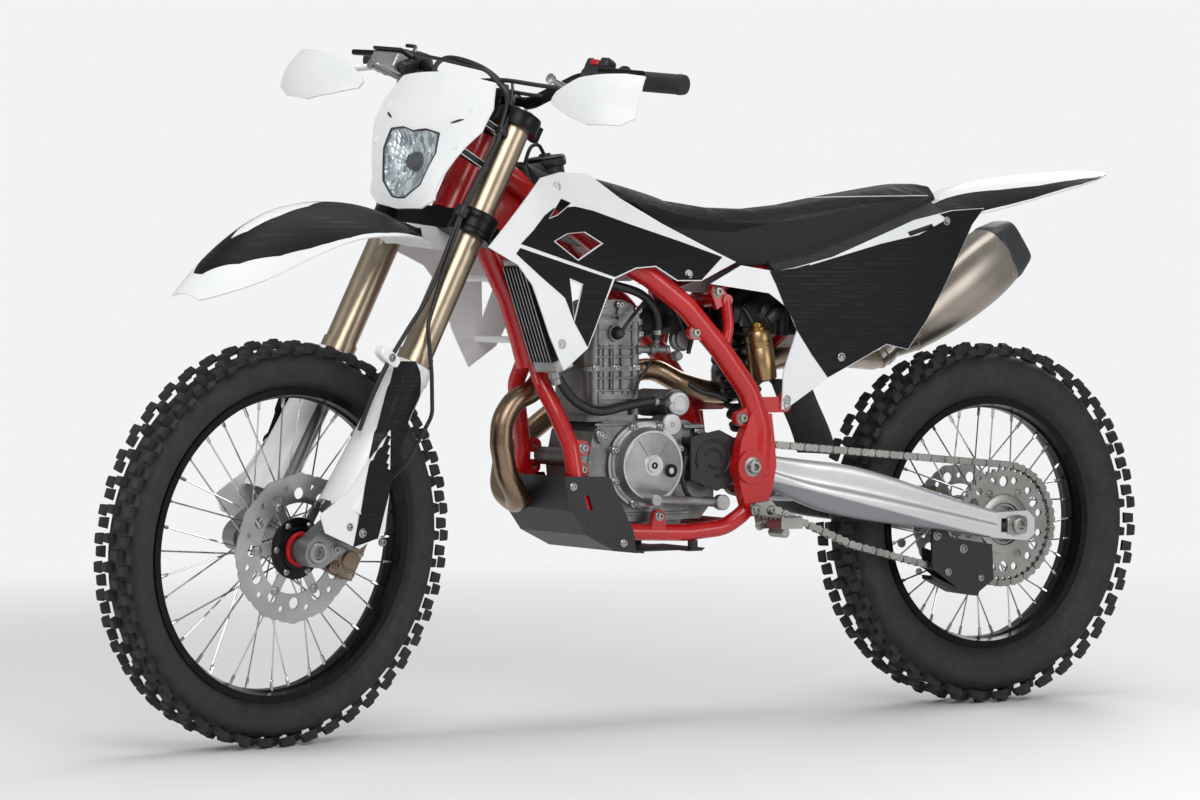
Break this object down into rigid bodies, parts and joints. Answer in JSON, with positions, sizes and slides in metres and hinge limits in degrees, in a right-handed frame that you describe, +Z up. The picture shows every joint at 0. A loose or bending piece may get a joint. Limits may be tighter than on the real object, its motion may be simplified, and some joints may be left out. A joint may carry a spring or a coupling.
{
  "type": "trail motorcycle",
  "caption": "Off-road motorcycle with red tube frame, white bodywork, long-travel fork, open single-cylinder engine, wire wheels and chain drive; steering turns and both wheels spin",
  "frame": {"origin": "the rider's place on the top of the seat, at the seat's lowest point on the middle plane", "axes": "+X forward, +Y to the rider's left, +Z up"},
  "size_m": [2.1809, 0.9453, 1.2461],
  "materials": {
    "frame_paint": "bright red gloss powder coat",
    "engine_alloy": "sand-cast, bead blasted",
    "silver_cover": "die-cast, silver paint",
    "black_plastic": "moulded, fine grain",
    "steel": "zinc plated or ground",
    "titanium": "brushed, heat tinted",
    "radiator_alloy": "bare fins and tanks",
    "white_plastic": "gloss moulding with matt black graphics",
    "seat_cover": "grained vinyl over foam",
    "lever_alloy": "forged",
    "arm_alloy": "forged and machined",
    "shock_parts": "black spring, gold reservoir",
    "flap_rubber": "moulded",
    "caliper_alloy": "bronze anodised",
    "black_alloy": "black anodised",
    "fork_anodising": "champagne anodised",
    "grip_rubber": "moulded pattern",
    "lamp_glass": "clear lens over a reflector",
    "hose_rubber": "extruded",
    "tyre": "off-road compound",
    "rim_anodising": "black anodised",
    "hub_alloy": "machined",
    "disc_steel": "ground stainless"
  },
  "bodies": {
    "chassis": {"main_frame": "frame_paint", "subframe": "frame_paint", "crankcase": "engine_alloy", "cylinder": "engine_alloy", "ignition_cover": "silver_cover", "clutch_cover": "engine_alloy", "throttle_body": "black_plastic", "sprocket_cover": "black_plastic", "front_sprocket": "steel", "chain": "steel", "chain_guide": "black_plastic", "header_pipe": "titanium", "silencer": "titanium", "radiator": "radiator_alloy", "airbox": "black_plastic", "tank_shrouds": "white_plastic", "fuel_tank": "black_plastic", "seat": "seat_cover", "side_panels": "white_plastic", "rear_fender": "white_plastic", "skid_plate": "black_plastic", "footpegs": "steel", "foot_levers": "lever_alloy", "swingarm": "arm_alloy", "swingarm_pin": "steel", "shock_absorber": "shock_parts", "mud_flap": "flap_rubber", "rear_caliper": "caliper_alloy", "rear_axle": "steel"},
    "steering": {"steering_clamps": "black_alloy", "fork_tubes": "fork_anodising", "fork_legs": "arm_alloy", "fork_guards": "white_plastic", "handlebar": "black_alloy", "grips": "grip_rubber", "hand_guards": "white_plastic", "bar_levers": "black_alloy", "headlight_mask": "white_plastic", "headlight": "lamp_glass", "front_fender": "white_plastic", "front_caliper": "caliper_alloy", "brake_hose": "hose_rubber", "front_axle": "steel"},
    "front_wheel": {"front_tyre": "tyre", "front_rim": "rim_anodising", "front_spokes": "steel", "front_hub": "hub_alloy", "front_disc": "disc_steel"},
    "rear_wheel": {"rear_tyre": "tyre", "rear_rim": "rim_anodising", "rear_spokes": "steel", "rear_hub": "hub_alloy", "rear_disc": "disc_steel", "rear_sprocket": "steel"}
  },
  "joints": [
    {"name": "steering", "type": "hinge", "parent": "chassis", "child": "steering", "pos_m": [0.90899, 0, -0.60043], "axis": [-0.4462, 0, 0.8949], "range_deg": [-54.5, 31.5]},
    {"name": "front_wheel_spin", "type": "hinge", "parent": "steering", "child": "front_wheel", "pos_m": [0.95898, 0.01136, -0.57551], "axis": [-0.1784, 0.9799, -0.089], "continuous": true},
    {"name": "rear_wheel_spin", "type": "hinge", "parent": "chassis", "child": "rear_wheel", "pos_m": [-0.54, 0, -0.584], "axis": [0, 1, 0], "continuous": true}
  ]
}
